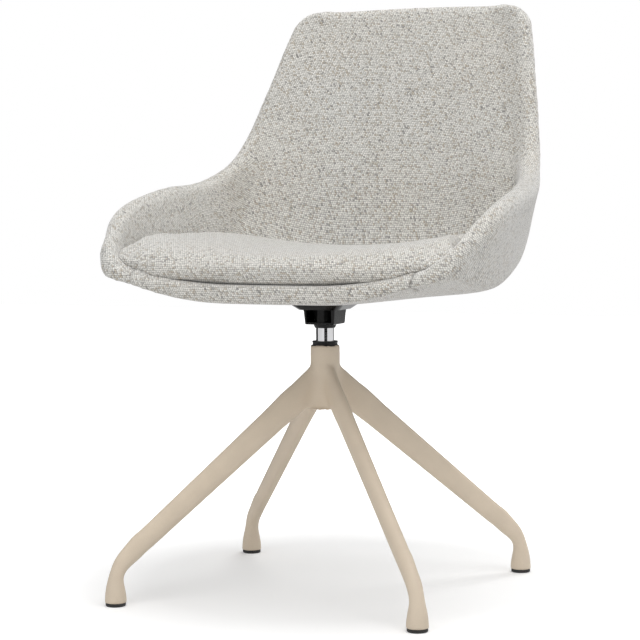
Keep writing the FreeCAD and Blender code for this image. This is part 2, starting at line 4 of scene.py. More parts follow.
import bpy
import numpy as np
from bpy.props import FloatProperty, FloatVectorProperty, IntProperty, PointerProperty
from mathutils import Matrix, Vector
from mathutils.bvhtree import BVHTree


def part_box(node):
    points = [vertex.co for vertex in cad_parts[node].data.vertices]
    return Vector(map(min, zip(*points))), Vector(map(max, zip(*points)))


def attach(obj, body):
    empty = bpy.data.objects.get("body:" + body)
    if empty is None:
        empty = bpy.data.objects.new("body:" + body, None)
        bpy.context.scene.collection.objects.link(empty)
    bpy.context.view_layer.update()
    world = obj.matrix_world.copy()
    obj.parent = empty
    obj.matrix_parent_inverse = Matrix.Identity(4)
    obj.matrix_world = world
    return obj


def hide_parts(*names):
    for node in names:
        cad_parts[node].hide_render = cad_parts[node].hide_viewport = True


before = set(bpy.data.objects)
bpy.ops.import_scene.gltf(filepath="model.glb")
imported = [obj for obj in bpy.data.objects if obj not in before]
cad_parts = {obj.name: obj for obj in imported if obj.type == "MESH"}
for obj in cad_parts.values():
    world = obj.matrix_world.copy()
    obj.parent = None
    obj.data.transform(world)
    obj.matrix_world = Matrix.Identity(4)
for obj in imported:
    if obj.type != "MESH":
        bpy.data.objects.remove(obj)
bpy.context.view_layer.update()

bl_info = {
    "name": "Swivel Dining Chair",
    "version": (1, 0, 0),
    "blender": (4, 5, 0),
    "location": "View3D > Sidebar > Chair",
    "description": "Dresses the swivel dining chair and sets it on a plain stage",
    "category": "Object",
}

LEGS = ("front_left", "front_right", "rear_left", "rear_right")
COLUMN_LOW, COLUMN_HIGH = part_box("column")
COLUMN_Y = (COLUMN_LOW[1] + COLUMN_HIGH[1]) / 2
HUB_LOW, HUB_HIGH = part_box("base_hub")
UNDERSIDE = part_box("mounting_plate")[1][2]


class UpholsterySettings(bpy.types.PropertyGroup):
    voxel: FloatProperty(
        name="Cloth Mesh Size", description="Edge length of the mesh that the cloth is made of",
        default=0.005, min=0.003, max=0.008, unit="LENGTH")
    pressure: FloatProperty(
        name="Filling Pressure", description="How hard the foam pushes the cover out", default=4.0, min=0.0)
    cushion_puff: FloatProperty(
        name="Cushion Puff", description="Furthest that the cushion's cover may move as it fills",
        default=0.005, min=0.0, unit="LENGTH")
    yarn: FloatProperty(
        name="Yarn Pitch", description="Distance from one row of the weave to the next",
        default=0.0029, min=0.001, unit="LENGTH")
    light_yarn: FloatVectorProperty(
        name="Light Yarn", description="Colour of most of the yarn", subtype="COLOR",
        default=(0.672, 0.661, 0.632), min=0.0, max=1.0)
    beige_yarn: FloatVectorProperty(
        name="Beige Fleck", description="Colour of the warm flecks", subtype="COLOR",
        default=(0.50, 0.45, 0.38), min=0.0, max=1.0)
    dark_yarn: FloatVectorProperty(
        name="Dark Fleck", description="Colour of the dark flecks", subtype="COLOR",
        default=(0.31, 0.305, 0.295), min=0.0, max=1.0)


class MetalworkSettings(bpy.types.PropertyGroup):
    powder: FloatVectorProperty(
        name="Powder Coat", description="Colour of the hub and the legs", subtype="COLOR",
        default=(0.66, 0.56, 0.44), min=0.0, max=1.0)
    chrome: FloatVectorProperty(
        name="Chrome", description="Tint of the polished column", subtype="COLOR",
        default=(0.87, 0.87, 0.88), min=0.0, max=1.0)
    black: FloatVectorProperty(
        name="Black Paint", description="Colour of the bracket and the mounting plate", subtype="COLOR",
        default=(0.006, 0.006, 0.006), min=0.0, max=1.0)


class StageSettings(bpy.types.PropertyGroup):
    azimuth: FloatProperty(
        name="Azimuth", description="How far round the chair the camera stands, from straight ahead",
        default=math.radians(22.973), subtype="ANGLE")
    distance: FloatProperty(
        name="Distance", description="From the column's axis to the camera, level",
        default=2.9336, unit="LENGTH")
    height: FloatProperty(
        name="Height", description="Height of the camera over the floor", default=0.58315, unit="LENGTH")
    pitch: FloatProperty(
        name="Pitch", description="How far the camera looks down",
        default=math.radians(3.736), subtype="ANGLE")
    roll: FloatProperty(
        name="Roll", description="How far the camera leans", default=math.radians(-0.296), subtype="ANGLE")
    lens: FloatProperty(
        name="Focal Length", description="Focal length on a 36 mm wide sensor", default=114.36, min=10.0)
    shift: FloatProperty(
        name="Shift", description="Sideways shift of the picture, as a share of its width", default=-0.0078)
    sky: FloatProperty(
        name="Room Light", description="Strength of the light from all round", default=0.50, min=0.0)
    key: FloatProperty(
        name="Key Light", description="Power of the key lamp; the other lamps keep their share of it",
        default=37.0, min=0.0)
    floor_reach: IntProperty(
        name="Floor Reach", description="Half the side of the floor, in metres", default=6, min=2)


# Helpers


def start_afresh():
    """Leaves edit mode and clears the selection."""
    if bpy.context.object and bpy.context.object.mode != "OBJECT":
        bpy.ops.object.mode_set(mode="OBJECT")
    bpy.ops.object.select_all(action="DESELECT")


def pick(obj):
    """Makes this the one selected object."""
    start_afresh()
    obj.select_set(True)
    bpy.context.view_layer.objects.active = obj


def copied(nodes, name):
    """One new object that holds the merged meshes of these CAD nodes."""
    start_afresh()
    parts = []
    for node in nodes:
        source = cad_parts[node]
        part = bpy.data.objects.new(name, source.data.copy())
        bpy.context.collection.objects.link(part)
        part.data.materials.clear()
        part.select_set(True)
        parts.append(part)
    bpy.context.view_layer.objects.active = parts[0]
    if len(parts) > 1:
        bpy.ops.object.join()
    obj = bpy.context.object
    obj.name = obj.data.name = name
    bpy.ops.object.mode_set(mode="EDIT")
    bpy.ops.mesh.select_all(action="SELECT")
    bpy.ops.mesh.remove_doubles(threshold=0.00002)
    bpy.ops.object.mode_set(mode="OBJECT")
    return obj


def apply_modifier(obj, kind, **values):
    """Adds a modifier of this kind, sets its values and applies it."""
    pick(obj)
    modifier = obj.modifiers.new(kind.title(), kind)
    for key, value in values.items():
        setattr(modifier, key, value)
    bpy.ops.object.modifier_apply(modifier=modifier.name)


def places(obj):
    """The mesh's points, one row each."""
    values = np.empty(len(obj.data.vertices) * 3)
    obj.data.vertices.foreach_get("co", values)
    return values.reshape(-1, 3)


def set_places(obj, values):
    obj.data.vertices.foreach_set("co", values.ravel())
    obj.data.update()


def normals(obj):
    """The way out at each of the mesh's points, one row each."""
    values = np.empty(len(obj.data.vertices) * 3)
    obj.data.vertex_normals.foreach_get("vector", values)
    return values.reshape(-1, 3)


def remeshed(obj, voxel, passes):
    """Lays an even mesh over the piece and smooths it in this many passes."""
    apply_modifier(obj, "REMESH", mode="VOXEL", voxel_size=voxel, use_smooth_shade=True)
    apply_modifier(obj, "SMOOTH", factor=0.5, iterations=passes)


TUCKED_IN = 0.6
CLOTH_FRAMES = 20


def filled(obj, pressure, puff):
    """Blows the cover up from inside as cloth and keeps each point within puff of where it was."""
    set_places(obj, places(obj) - TUCKED_IN * puff * normals(obj))
    before = places(obj)
    pick(obj)
    modifier = obj.modifiers.new("Cloth", "CLOTH")
    cloth = modifier.settings
    cloth.quality = 5
    cloth.mass = 0.3
    cloth.use_pressure = True
    cloth.uniform_pressure_force = pressure
    cloth.effector_weights.gravity = 0.0
    modifier.point_cache.frame_end = CLOTH_FRAMES
    for step in range(1, CLOTH_FRAMES + 1):
        bpy.context.scene.frame_set(step)
    bpy.ops.object.modifier_apply(modifier=modifier.name)
    bpy.context.scene.frame_set(1)
    moved = places(obj) - before
    far = np.linalg.norm(moved, axis=1)
    moved *= np.minimum(1.0, puff / np.maximum(far, 1e-9))[:, None]
    set_places(obj, before + moved)


def finished(obj, levels=1):
    """Subdivides the piece, unless levels is 0, and shades it smooth."""
    if levels:
        apply_modifier(obj, "SUBSURF", levels=levels, render_levels=levels)
    pick(obj)
    bpy.ops.object.shade_smooth()
    return obj


# Where the shell's sections stand, as in the model: level under the seat, in a fan round the bend, and up
# the back

FAN_Y = 0.040
FAN_RISE = 0.301
FAN_Z = UNDERSIDE + FAN_RISE
BACK_LEAN = math.radians(23.0)
BACK_FOOT = 0.2207
FAN_REACH = 0.24
FAN_TURN = math.pi / 2 - BACK_LEAN


def section_frame(points):
    """For each point: its way along the shell's spine, its rise off the outer face, and the spine's turn."""
    y, z = points[:, 1] - COLUMN_Y, points[:, 2]
    up = (y - FAN_Y) * math.sin(BACK_LEAN) + (z - FAN_Z) * math.cos(BACK_LEAN)
    turn = np.clip(np.arctan2(y - FAN_Y, FAN_Z - z), 0, FAN_TURN)
    back_reach = (BACK_FOOT + FAN_RISE * math.tan(BACK_LEAN) - FAN_Y) * math.cos(BACK_LEAN)
    reach = FAN_RISE + (back_reach - FAN_RISE) * turn / FAN_TURN
    back_rise = (BACK_FOOT + (z - UNDERSIDE) * math.tan(BACK_LEAN) - y) * math.cos(BACK_LEAN)
    bend_rise = reach - np.hypot(y - FAN_Y, z - FAN_Z)
    on_seat, on_back = y <= FAN_Y, up >= 0
    along = np.where(on_back, FAN_REACH * FAN_TURN + up, np.where(on_seat, y - FAN_Y, FAN_REACH * turn))
    rise = np.where(on_back, back_rise, np.where(on_seat, z - UNDERSIDE, bend_rise))
    turn = np.where(on_back, FAN_TURN, np.where(on_seat, 0.0, turn))
    return along, rise, turn


def shell_weave(points, centres, facing):
    """Cloth laid on the side that each face turns to: its rows follow the shell's sections."""
    along, rise, turn = section_frame(points)
    middle_turn = section_frame(centres)[2]
    ahead = np.abs(facing[:, 1] * np.cos(middle_turn) + facing[:, 2] * np.sin(middle_turn))
    off = np.abs(facing[:, 2] * np.cos(middle_turn) - facing[:, 1] * np.sin(middle_turn))
    side = np.abs(facing[:, 0])
    on_side = (side > off) & (side > ahead)
    on_front = ~on_side & (ahead > off)
    return np.where(on_side, rise, points[:, 0]), np.where(on_front, rise, along)


def flat_weave(points, centres, facing):
    """Cloth laid flat over a cushion and straight down its edges."""
    side, ahead, up = np.abs(facing).T
    on_side = (side > up) & (side > ahead)
    on_front = ~on_side & (ahead > up)
    return np.where(on_side, points[:, 2], points[:, 0]), np.where(on_front, points[:, 2], points[:, 1])


def lay_cloth(obj, weave):
    """Writes the piece's UV map, in metres of cloth."""
    mesh = obj.data
    layer = mesh.uv_layers.get("weave") or mesh.uv_layers.new(name="weave")
    corners = np.empty(len(mesh.loops), dtype=np.int32)
    mesh.loops.foreach_get("vertex_index", corners)
    sides = np.empty(len(mesh.polygons), dtype=np.int32)
    mesh.polygons.foreach_get("loop_total", sides)
    facing = np.empty(len(mesh.polygons) * 3)
    mesh.polygons.foreach_get("normal", facing)
    centres = np.empty(len(mesh.polygons) * 3)
    mesh.polygons.foreach_get("center", centres)
    facing = np.repeat(facing.reshape(-1, 3), sides, axis=0)
    centres = np.repeat(centres.reshape(-1, 3), sides, axis=0)
    across, along = weave(places(obj)[corners], centres, facing)
    layer.data.foreach_set("uv", np.column_stack((across, along)).astype(np.float32).ravel())


# Shaping


def eased(values, start, end):
    """0 at start, 1 at end, with a smooth rise between."""
    share = np.clip((values - start) / (end - start), 0, 1)
    return share * share * (3 - 2 * share)


# Where the shell's skin is drawn to its shape: centre, reach and move, in metres, with Y from the column

SHELL_TOUCHES = {
    "top_edge": ((0.0, 0.385, 0.875), (0.135, 0.050, 0.050), (0, 0.0015, 0.0048)),
    "top_corners": ((0.153, 0.385, 0.875), (0.022, 0.050, 0.040), (0, 0, -0.0030)),
    "front_lip": ((0.0, -0.205, 0.430), (0.230, 0.060, 0.035), (0, 0, -0.0032)),
    "beside_the_wings_below": ((0.245, -0.030, 0.447), (0.055, 0.080, 0.035), (0.002, 0, -0.0075)),
    "wings_behind_the_seat": ((0.292, 0.075, 0.578), (0.040, 0.070, 0.050), (0.0080, 0, 0)),
    "lower_front_corners": ((0.292, -0.150, 0.475), (0.030, 0.060, 0.035), (-0.0045, 0, 0)),
    "wing_rims_inside": ((0.250, -0.160, 0.497), (0.022, 0.050, 0.032), (0.0075, 0, 0)),
}


def swell(obj, centre, reach, move):
    """Draws the skin softly along move round a point, on the left and the right alike."""
    points = places(obj)
    mirror = np.sign(points[:, 0])[:, None]
    local = np.column_stack((np.abs(points[:, 0]), points[:, 1] - COLUMN_Y, points[:, 2]))
    far = (((local - centre) / reach) ** 2).sum(axis=1)
    push = np.exp(-far)[:, None] * np.array(move)
    push[:, :1] *= mirror
    set_places(obj, points + push)


# How much wider the cushion's cover is than its solid, at distances from the column, front edge first

CUSHION_WIDTHS = (
    (-0.203, 1.05), (-0.196, 1.11), (-0.190, 1.21), (-0.182, 1.23), (-0.172, 1.19),
    (-0.160, 1.14), (-0.130, 1.07), (-0.080, 1.02), (0.000, 1.00),
)


def widen_front(obj):
    """Fills the cushion's front corners out to the wings."""
    points = places(obj)
    stations, scales = zip(*CUSHION_WIDTHS)
    points[:, 0] *= np.interp(points[:, 1] - COLUMN_Y, stations, scales)
    set_places(obj, points)


# How much further than its reach settle looks, and how squarely a point must face the other piece to move

LOOK_BEYOND = 0.05
FACING_IT = -0.3


def settle(obj, against, reach, gap):
    """Closes the space to the piece that obj lies against, and keeps obj that gap clear of it."""
    surface = BVHTree.FromObject(against, bpy.context.evaluated_depsgraph_get())
    points, outward = places(obj), normals(obj)
    for index, point in enumerate(points):
        near, normal, _, distance = surface.find_nearest(Vector(point), reach + LOOK_BEYOND)
        if near is None:
            continue
        signed = distance if (Vector(point) - near).dot(normal) > 0 else -distance
        if signed > reach:
            continue
        target = near + normal * gap
        if signed <= gap:
            points[index] = target
        elif Vector(outward[index]).dot(normal) < FACING_IT:
            share = min(1.0, (reach - signed) / (0.5 * reach))
            points[index] = point + share * (np.array(target) - point)
    set_places(obj, points)


# The two upright seams where the front band meets the wings: SEAM_X from the middle at the height SEAM_Z,
# leaning out by SEAM_LEAN, no further back than SEAM_BACK and no higher than SEAM_TOP

SEAM_X = 0.208
SEAM_Z = 0.45
SEAM_LEAN = 0.06
SEAM_BACK = -0.172
SEAM_TOP = 0.476
# How wide the crease sinks, how wide the painted shade along it spreads, and how much weaker that painted
# shade is on the left side
SEAM_SPREAD = 0.0022
SEAM_SHADE_SPREAD = 0.0016
LEFT_SEAM_SHADE = 0.4


def band_ends(points):
    """Distance from the two seams, which grows fast past their ends."""
    y, z = points[:, 1] - COLUMN_Y, points[:, 2]
    off = np.abs(np.abs(points[:, 0]) - SEAM_X - SEAM_LEAN * (z - SEAM_Z))
    return off + 10 * np.maximum(0, y - SEAM_BACK) + 2 * np.maximum(0, z - SEAM_TOP)


def crease(obj, band, depth, dark):
    """Sinks a sewn seam into the skin where band(points) is near 0, and marks it for a painted shade along
    the seam, weaker on the left side.
    """
    points = places(obj)
    off = band(points)
    sunk = np.exp(-(off / SEAM_SPREAD) ** 2)
    set_places(obj, points - depth * sunk[:, None] * normals(obj))
    mark = obj.data.attributes.get("seam") or obj.data.attributes.new("seam", "FLOAT", "POINT")
    # Painted shade along the seam, weaker on the left side
    seam_shade = dark * np.where(points[:, 0] > 0, 1.0, LEFT_SEAM_SHADE) * np.exp(-(off / SEAM_SHADE_SPREAD) ** 2)
    mark.data.foreach_set("value", seam_shade.astype(np.float32))


# Finishes


class Finish:
    """A procedural material, built node by node."""

    def __init__(self, name):
        self.material = bpy.data.materials.new(name)
        self.material.use_nodes = True
        self.tree = self.material.node_tree
        self.shader = self.tree.nodes["Principled BSDF"]

    def node(self, kind, values=None, **settings):
        made = self.tree.nodes.new(kind)
        for key, value in settings.items():
            setattr(made, key, value)
        for key, value in (values or {}).items():
            made.inputs[key].default_value = value
        return made

    def link(self, source, target):
        self.tree.links.new(source, target)

    def set(self, **values):
        for key, value in values.items():
            self.shader.inputs[key.replace("_", " ")].default_value = value

    def mixed(self, factor, first, second, blend="MIX"):
        """A colour mix; each of the three is a socket or a value."""
        mix = self.node("ShaderNodeMix", data_type="RGBA", blend_type=blend)
        for socket, value in ((mix.inputs[0], factor), (mix.inputs[6], first), (mix.inputs[7], second)):
            if isinstance(value, bpy.types.NodeSocket):
                self.link(value, socket)
            else:
                socket.default_value = value
        return mix.outputs[2]

    def ranged(self, source, low, high, to_low, to_high):
        """The source's values from low to high, spread from to_low to to_high."""
        made = self.node("ShaderNodeMapRange", {1: low, 2: high, 3: to_low, 4: to_high})
        self.link(source, made.inputs[0])
        return made.outputs[0]

    def bump(self, height, distance, strength=1.0, under=None):
        made = self.node("ShaderNodeBump", {"Strength": strength, "Distance": distance})
        self.link(height, made.inputs["Height"])
        if under:
            self.link(under, made.inputs["Normal"])
        return made.outputs["Normal"]

    def noise(self, scale, detail=2.0, roughness=0.5, vector=None):
        made = self.node("ShaderNodeTexNoise", {"Scale": scale, "Detail": detail, "Roughness": roughness})
        if vector is None:
            vector = self.node("ShaderNodeTexCoord").outputs["Object"]
        self.link(vector, made.inputs["Vector"])
        return made.outputs["Fac"]

    def paint(self, tint, tone):
        """The tint, made lighter and darker by tone, as the base colour."""
        self.link(self.mixed(1.0, colour(tint), tone, "MULTIPLY"), self.shader.inputs["Base Color"])

    def roughen(self, noise, low, high, start=0.3):
        """A roughness that wanders from low to high with the noise."""
        self.link(self.ranged(noise, start, 0.7, low, high), self.shader.inputs["Roughness"])


def colour(values, share=1.0):
    """The colour with its alpha, made lighter or darker by share."""
    return tuple(value * share for value in values) + (1.0,)


# Colour of the painted shade along the sewn seams
SEAM_SHADE_COLOUR = (0.13, 0.12, 0.11, 1.0)


def chunky_weave(settings):
    """Staggered rounds of light, beige and dark yarn, with painted shade between the rounds and their crowns
    painted a little lighter, with loose fibres.
    """
    finish = Finish("chunky_weave")
    cloth = finish.node("ShaderNodeUVMap", uv_map="weave")
    pitch = settings.yarn
    mapping = finish.node("ShaderNodeMapping", {"Scale": (1.0 / pitch, 1.0 / pitch, 1.0)})
    finish.link(cloth.outputs["UV"], mapping.inputs["Vector"])
    ends = finish.node("ShaderNodeSeparateXYZ")
    finish.link(mapping.outputs["Vector"], ends.inputs[0])
    stagger = finish.node("ShaderNodeMath", {1: 0.5}, operation="MULTIPLY_ADD")
    finish.link(ends.outputs["Y"], stagger.inputs[0])
    finish.link(ends.outputs["X"], stagger.inputs[2])
    rows = finish.node("ShaderNodeCombineXYZ")
    finish.link(stagger.outputs[0], rows.inputs["X"])
    finish.link(ends.outputs["Y"], rows.inputs["Y"])
    cells = finish.node("ShaderNodeTexVoronoi", {"Scale": 1.0, "Randomness": 0.33},
                        voronoi_dimensions="2D", feature="F1")
    finish.link(rows.outputs["Vector"], cells.inputs["Vector"])
    parts = finish.node("ShaderNodeSeparateColor")
    finish.link(cells.outputs["Color"], parts.inputs["Color"])
    ramp = finish.node("ShaderNodeValToRGB")
    finish.link(parts.outputs["Red"], ramp.inputs["Fac"])
    tones = ramp.color_ramp
    tones.elements[0].position = 0.0
    tones.elements[0].color = colour(settings.dark_yarn)
    tones.elements[1].position = 1.0
    tones.elements[1].color = colour(settings.light_yarn, 1.14)
    for position, tone in ((0.035, colour(settings.dark_yarn, 1.45)), (0.08, colour(settings.beige_yarn)),
                           (0.26, colour(settings.light_yarn, 0.90)), (0.60, colour(settings.light_yarn))):
        tones.elements.new(position).color = tone
    # Painted shade between the yarn rounds, with their crowns painted a little lighter
    painted_gap_shade = finish.ranged(cells.outputs["Distance"], 0.22, 0.60, 1.10, 0.50)
    fuzz = finish.ranged(finish.noise(900.0, 3.0, 0.6), 0.3, 0.7, 0.92, 1.06)
    broad = finish.mixed(finish.noise(7.0, 2.0), (1.0, 0.975, 0.935, 1.0), (0.975, 0.985, 0.99, 1.0))
    shade = ramp.outputs["Color"]
    for layer in (painted_gap_shade, fuzz, broad):
        shade = finish.mixed(1.0, shade, layer, "MULTIPLY")
    # Painted shade along the sewn seams, from the mark that crease leaves
    seam = finish.node("ShaderNodeAttribute", attribute_name="seam")
    shade = finish.mixed(seam.outputs["Fac"], shade, SEAM_SHADE_COLOUR)
    finish.link(shade, finish.shader.inputs["Base Color"])
    round_yarn = finish.ranged(cells.outputs["Distance"], 0.0, 0.8, 1.0, 0.0)
    normal = finish.bump(round_yarn, 0.0008, 0.7)
    normal = finish.bump(finish.noise(1600.0, 2.0), 0.0003, 0.5, normal)
    finish.link(normal, finish.shader.inputs["Normal"])
    finish.set(Roughness=0.95, Sheen_Weight=0.7, Sheen_Roughness=0.4, Specular_IOR_Level=0.2)
    return finish.material


def powder_coat(settings):
    finish = Finish("satin_powder_coat")
    broad = finish.ranged(finish.noise(30.0, 2.0), 0.3, 0.7, 0.97, 1.03)
    speck = finish.ranged(finish.noise(2600.0, 1.0), 0.35, 0.65, 0.94, 1.05)
    shade = finish.mixed(1.0, colour(settings.powder), broad, "MULTIPLY")
    shade = finish.mixed(1.0, shade, speck, "MULTIPLY")
    finish.link(shade, finish.shader.inputs["Base Color"])
    finish.link(finish.bump(finish.noise(1500.0, 2.0), 0.0002, 0.35), finish.shader.inputs["Normal"])
    finish.roughen(finish.noise(120.0, 2.0), 0.44, 0.56)
    return finish.material


def polished_chrome(settings):
    finish = Finish("polished_chrome")
    finish.set(Metallic=1.0)
    finish.roughen(finish.noise(60.0, 4.0), 0.05, 0.12, start=0.35)
    finish.paint(settings.chrome, finish.ranged(finish.noise(35.0, 2.0), 0.3, 0.7, 0.97, 1.02))
    return finish.material


def black_enamel(name, tint, rough_low, rough_high, shine=0.5):
    """Paint or moulded plastic with a fine grain; shine is how strongly it reflects."""
    finish = Finish(name)
    finish.set(Specular_IOR_Level=shine)
    finish.paint(tint, finish.ranged(finish.noise(45.0, 3.0), 0.3, 0.7, 0.85, 1.2))
    finish.roughen(finish.noise(160.0, 2.0), rough_low, rough_high)
    finish.link(finish.bump(finish.noise(900.0, 2.0), 0.00015, 0.3), finish.shader.inputs["Normal"])
    return finish.material


def bare_steel(name, tint, roughness):
    finish = Finish(name)
    finish.set(Metallic=1.0)
    finish.paint(tint, finish.ranged(finish.noise(80.0, 3.0), 0.3, 0.7, 0.9, 1.05))
    finish.roughen(finish.noise(300.0, 2.0), roughness - 0.06, roughness + 0.06)
    return finish.material


def moulded_plywood():
    """Pale veneer, with the noise drawn out into grain."""
    finish = Finish("moulded_plywood")
    coordinates = finish.node("ShaderNodeTexCoord")
    mapping = finish.node("ShaderNodeMapping", {"Scale": (14.0, 1.5, 60.0)})
    finish.link(coordinates.outputs["Object"], mapping.inputs["Vector"])
    grain = finish.noise(3.0, 6.0, 0.6, mapping.outputs["Vector"])
    shade = finish.mixed(grain, (0.52, 0.36, 0.21, 1.0), (0.74, 0.58, 0.40, 1.0))
    finish.link(shade, finish.shader.inputs["Base Color"])
    finish.link(finish.bump(grain, 0.0002, 0.5), finish.shader.inputs["Normal"])
    finish.set(Roughness=0.6)
    return finish.material


def dress(node, material):
    """Gives a CAD node this material all over."""
    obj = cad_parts[node]
    if not obj.material_slots:
        obj.data.materials.append(material)
    for place in obj.material_slots:
        place.material = material


# Pieces

# The ground weld between hub and legs. Each pair is where it starts and ends softly: from the column's axis
# at the hub's skin, from it out along the legs, up from the hub's foot, and up from the floor under its top

WELD_RADIUS = 0.008
WELD_MESH = 0.0017
WELD_AT_SKIN = (0.0192, 0.0208)
WELD_OUT_ON_LEGS = (0.055, 0.100)
WELD_AT_FOOT = (-0.035, 0.012)
WELD_UNDER_TOP = (0.328, 0.344)
LEAST_WEIGHT = 0.01

# Where the hub's neck is brought back to its tube, up from the floor, and its top to one level, up from it

HUB_NECK = (0.324, 0.330)
HUB_BRIM = (-0.0024, -0.0009)


def weld_zone(points):
    """1 where the legs run into the hub's outside, 0 in its bore, at its top and out along the legs."""
    off_axis = np.hypot(points[:, 0], points[:, 1] - COLUMN_Y)
    height = points[:, 2]
    low, high = WELD_AT_FOOT
    zone = eased(off_axis, *WELD_AT_SKIN) * (1 - eased(off_axis, *WELD_OUT_ON_LEGS))
    return zone * eased(height, HUB_LOW[2] + low, HUB_LOW[2] + high) * (1 - eased(height, *WELD_UNDER_TOP))


def trim_hub(points):
    """Brings the hub's neck back to its tube and its top back to one level."""
    centre, radius, top = (0, COLUMN_Y), (HUB_HIGH[0] - HUB_LOW[0]) / 2, HUB_HIGH[2]
    outside = np.hypot(points[:, 0], points[:, 1] - COLUMN_Y)
    excess = np.maximum(0, outside - radius) * eased(points[:, 2], *HUB_NECK)
    shrink = (1 - excess / np.maximum(outside, 1e-6))[:, None]
    points[:, :2] = (points[:, :2] - centre) * shrink + centre
    low, high = HUB_BRIM
    points[:, 2] += (top - points[:, 2]) * eased(points[:, 2], top + low, top + high)


def melt_welds(obj, radius):
    """Fills the corners between hub and legs with a ground weld: the skin swells, merges and draws back."""
    points = places(obj)
    set_places(obj, points + radius * weld_zone(points)[:, None] * normals(obj))
    remeshed(obj, WELD_MESH, 4)
    points = places(obj)
    points -= radius * weld_zone(points)[:, None] * normals(obj)
    trim_hub(points)
    set_places(obj, points)
    group = obj.vertex_groups.new(name="welds")
    weight = weld_zone(points)
    for index in np.flatnonzero(weight > LEAST_WEIGHT):
        group.add([int(index)], float(weight[index]), "REPLACE")
    apply_modifier(obj, "SMOOTH", factor=0.5, iterations=16, vertex_group="welds")
    obj.vertex_groups.clear()


def upholster(nodes, name, weave):
    """Common end of each upholstered piece: cloth, finish and its place in the model."""
    obj = bpy.data.objects[name]
    settings = bpy.context.scene.chair_upholstery
    lay_cloth(obj, weave)
    material = bpy.data.materials.get("chunky_weave") or chunky_weave(settings)
    obj.data.materials.clear()
    obj.data.materials.append(material)
    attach(obj, "seat")
    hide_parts(*nodes)


class CHAIR_OT_shell_upholstery(bpy.types.Operator):
    """Foam and fabric over both faces of the bucket shell, its rolled rim and the band across its front"""
    bl_idname = "chair.shell_upholstery"
    bl_label = "Upholster Shell"

    def execute(self, context):
        settings = context.scene.chair_upholstery
        obj = copied(("outer_cover", "inner_pad", "shell_core", "front_band"), "shell_upholstery")
        remeshed(obj, settings.voxel, 6)
        for centre, reach, move in SHELL_TOUCHES.values():
            swell(obj, centre, reach, move)
        finished(obj)
        crease(obj, band_ends, depth=0.0015, dark=0.8)
        upholster(("outer_cover", "inner_pad", "front_band"), obj.name, shell_weave)
        return {"FINISHED"}


class CHAIR_OT_seat_cushion(bpy.types.Operator):
    """The dished seat cushion, filled until its cover is tight and settled between the wings"""
    bl_idname = "chair.seat_cushion"
    bl_label = "Fill Seat Cushion"

    def execute(self, context):
        settings = context.scene.chair_upholstery
        shell = bpy.data.objects["shell_upholstery"]
        obj = copied(("seat_cushion",), "seat_cushion_cover")
        remeshed(obj, settings.voxel, 4)
        widen_front(obj)
        filled(obj, settings.pressure, settings.cushion_puff)
        finished(obj)
        settle(obj, shell, reach=0.012, gap=0.0004)
        upholster(("seat_cushion",), obj.name, flat_weave)
        return {"FINISHED"}


class CHAIR_OT_base_finish(bpy.types.Operator):
    """The hub and its four welded legs as one powder-coated body, and black plastic under the feet"""
    bl_idname = "chair.base_finish"
    bl_label = "Finish Base"

    def execute(self, context):
        settings = context.scene.chair_metalwork
        welded = ("base_hub",) + tuple("leg_" + leg for leg in LEGS)
        obj = copied(welded, "welded_base")
        remeshed(obj, WELD_MESH, 3)
        melt_welds(obj, WELD_RADIUS)
        finished(obj, levels=0)
        obj.data.materials.append(powder_coat(settings))
        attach(obj, "base")
        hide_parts(*welded)
        glides = black_enamel("glide_plastic", (0.02, 0.02, 0.02), 0.5, 0.65)
        for leg in LEGS:
            dress("glide_" + leg, glides)
        return {"FINISHED"}


class CHAIR_OT_swivel_finish(bpy.types.Operator):
    """Chrome on the column, nylon on its bushes and collar, paint on the bracket, and the inner pieces"""
    bl_idname = "chair.swivel_finish"
    bl_label = "Finish Swivel"

    def execute(self, context):
        settings = context.scene.chair_metalwork
        chrome = polished_chrome(settings)
        nylon = black_enamel("black_nylon", (0.008, 0.008, 0.008), 0.35, 0.5, shine=0.22)
        paint = black_enamel("black_paint", settings.black, 0.12, 0.20, shine=0.18)
        bolts = black_enamel("black_fastener", (0.03, 0.03, 0.03), 0.35, 0.5)
        steel = bare_steel("bearing_steel", (0.62, 0.62, 0.62), 0.25)
        zinc = bare_steel("zinc_steel", (0.66, 0.66, 0.64), 0.35)
        spring = bare_steel("spring_steel", (0.2, 0.2, 0.2), 0.35)
        cage = black_enamel("cage_nylon", (0.72, 0.70, 0.62), 0.5, 0.6)
        wood = moulded_plywood()
        finishes = {
            "column": chrome,
            "upper_bush": nylon, "lower_bush": nylon, "column_collar": nylon,
            "swivel_bracket": paint, "mounting_plate": paint,
            "plate_bolts": bolts, "plate_washers": bolts,
            "lower_race": steel, "upper_race": steel, "bearing_balls": steel, "bearing_cage": cage,
            "retaining_washer": zinc, "tee_nuts": zinc, "retaining_clip": spring,
            "shell_core": wood, "cushion_base": wood,
        }
        for node, material in finishes.items():
            dress(node, material)
        return {"FINISHED"}


# Stage

# Each lamp's place, the length of its side, and its share of the key light's power

LAMPS = {
    "key_lamp": ((0.9, -1.3, 2.9), 2.2, 1.0),
    "front_lamp": ((-0.9, -3.2, 1.0), 2.4, 0.50),
    "side_lamp": ((2.4, -0.6, 2.4), 1.8, 0.25),
    "rear_lamp": ((0.2, 1.2, 3.0), 1.4, 1.0),
}
LAMP_AIM = (0, 0, 0.45)

# From where to where each flag reaches round the chair, in degrees from the camera

FLAGS = {
    "front_flag": (-12, 28),
    "rear_flag": (135, 256),
}
FLAG_RADIUS = 3.4
FLAG_HEIGHT = 3.0

# The floor's own painted glow, which rises between these distances from the chair's middle to near the white
# behind; being weak near the chair, it paints shade round the chair

GLOW_FROM = 0.30
GLOW_TO = 0.80
GLOW_NEAR = 0.15
GLOW_FAR = 0.90
GLOW_IN_REFLECTIONS = 0.22

WHITE = (1.0, 1.0, 1.0, 1.0)


